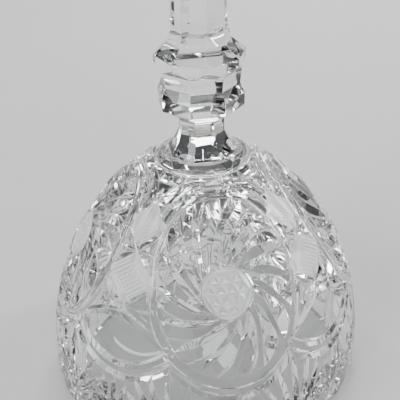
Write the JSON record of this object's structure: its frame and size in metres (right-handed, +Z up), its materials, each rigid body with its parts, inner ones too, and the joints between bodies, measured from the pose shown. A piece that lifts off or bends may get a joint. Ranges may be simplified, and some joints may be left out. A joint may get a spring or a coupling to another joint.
{
  "type": "glass hand bell",
  "caption": "Cut-crystal hand bell with pinwheel medallions, an octagonal faceted handle and a crystal bead clapper on a chain.",
  "frame": {"origin": "centre of the rim, at the level of the flat ground tips that the bell stands on", "axes": "+Z up along the handle; the four medallions face +X, +Y, -X and -Y"},
  "size_m": [0.0924, 0.0924, 0.16],
  "materials": {
    "crystal": "cut and polished, with frosted cross-hatched patches",
    "bead_crystal": "faceted and polished",
    "plated_metal": "bright plated wire and pressed sheet",
    "cement": "pale hard cement"
  },
  "bodies": {
    "bell": {"bell_body": "crystal", "handle": "crystal", "cement_pad": "cement", "crown_cup": "plated_metal", "screw_eye": "plated_metal"},
    "link_1": {"chain_link_1": "plated_metal"},
    "link_2": {"chain_link_2": "plated_metal"},
    "link_3": {"chain_link_3": "plated_metal"},
    "link_4": {"chain_link_4": "plated_metal"},
    "link_5": {"chain_link_5": "plated_metal"},
    "pin": {"clapper_pin": "plated_metal", "bead_cap_top": "plated_metal", "bead_cap_bottom": "plated_metal"},
    "bead": {"clapper_bead": "bead_crystal"}
  },
  "joints": [
    {"name": "eye_swing", "type": "hinge", "parent": "bell", "child": "link_1", "pos_m": [0, 0, 0.0492], "axis": [1, 0, 0], "range_deg": [-24, 24]},
    {"name": "link_2_swing", "type": "hinge", "parent": "link_1", "child": "link_2", "pos_m": [0, 0, 0.0452], "axis": [0, 1, 0], "range_deg": [-24, 24]},
    {"name": "link_3_swing", "type": "hinge", "parent": "link_2", "child": "link_3", "pos_m": [0, 0, 0.0411], "axis": [1, 0, 0], "range_deg": [-7, 7]},
    {"name": "link_4_swing", "type": "hinge", "parent": "link_3", "child": "link_4", "pos_m": [0, 0, 0.037], "axis": [0, 1, 0], "range_deg": [-7, 7]},
    {"name": "link_5_swing", "type": "hinge", "parent": "link_4", "child": "link_5", "pos_m": [0, 0, 0.0329], "axis": [1, 0, 0], "range_deg": [-7, 7]},
    {"name": "pin_swing", "type": "hinge", "parent": "link_5", "child": "pin", "pos_m": [0, 0, 0.0288], "axis": [0, 1, 0], "range_deg": [-7, 7]},
    {"name": "bead_spin", "type": "hinge", "parent": "pin", "child": "bead", "pos_m": [0, 0, 0.0165], "axis": [0, 0, 1], "continuous": true}
  ]
}
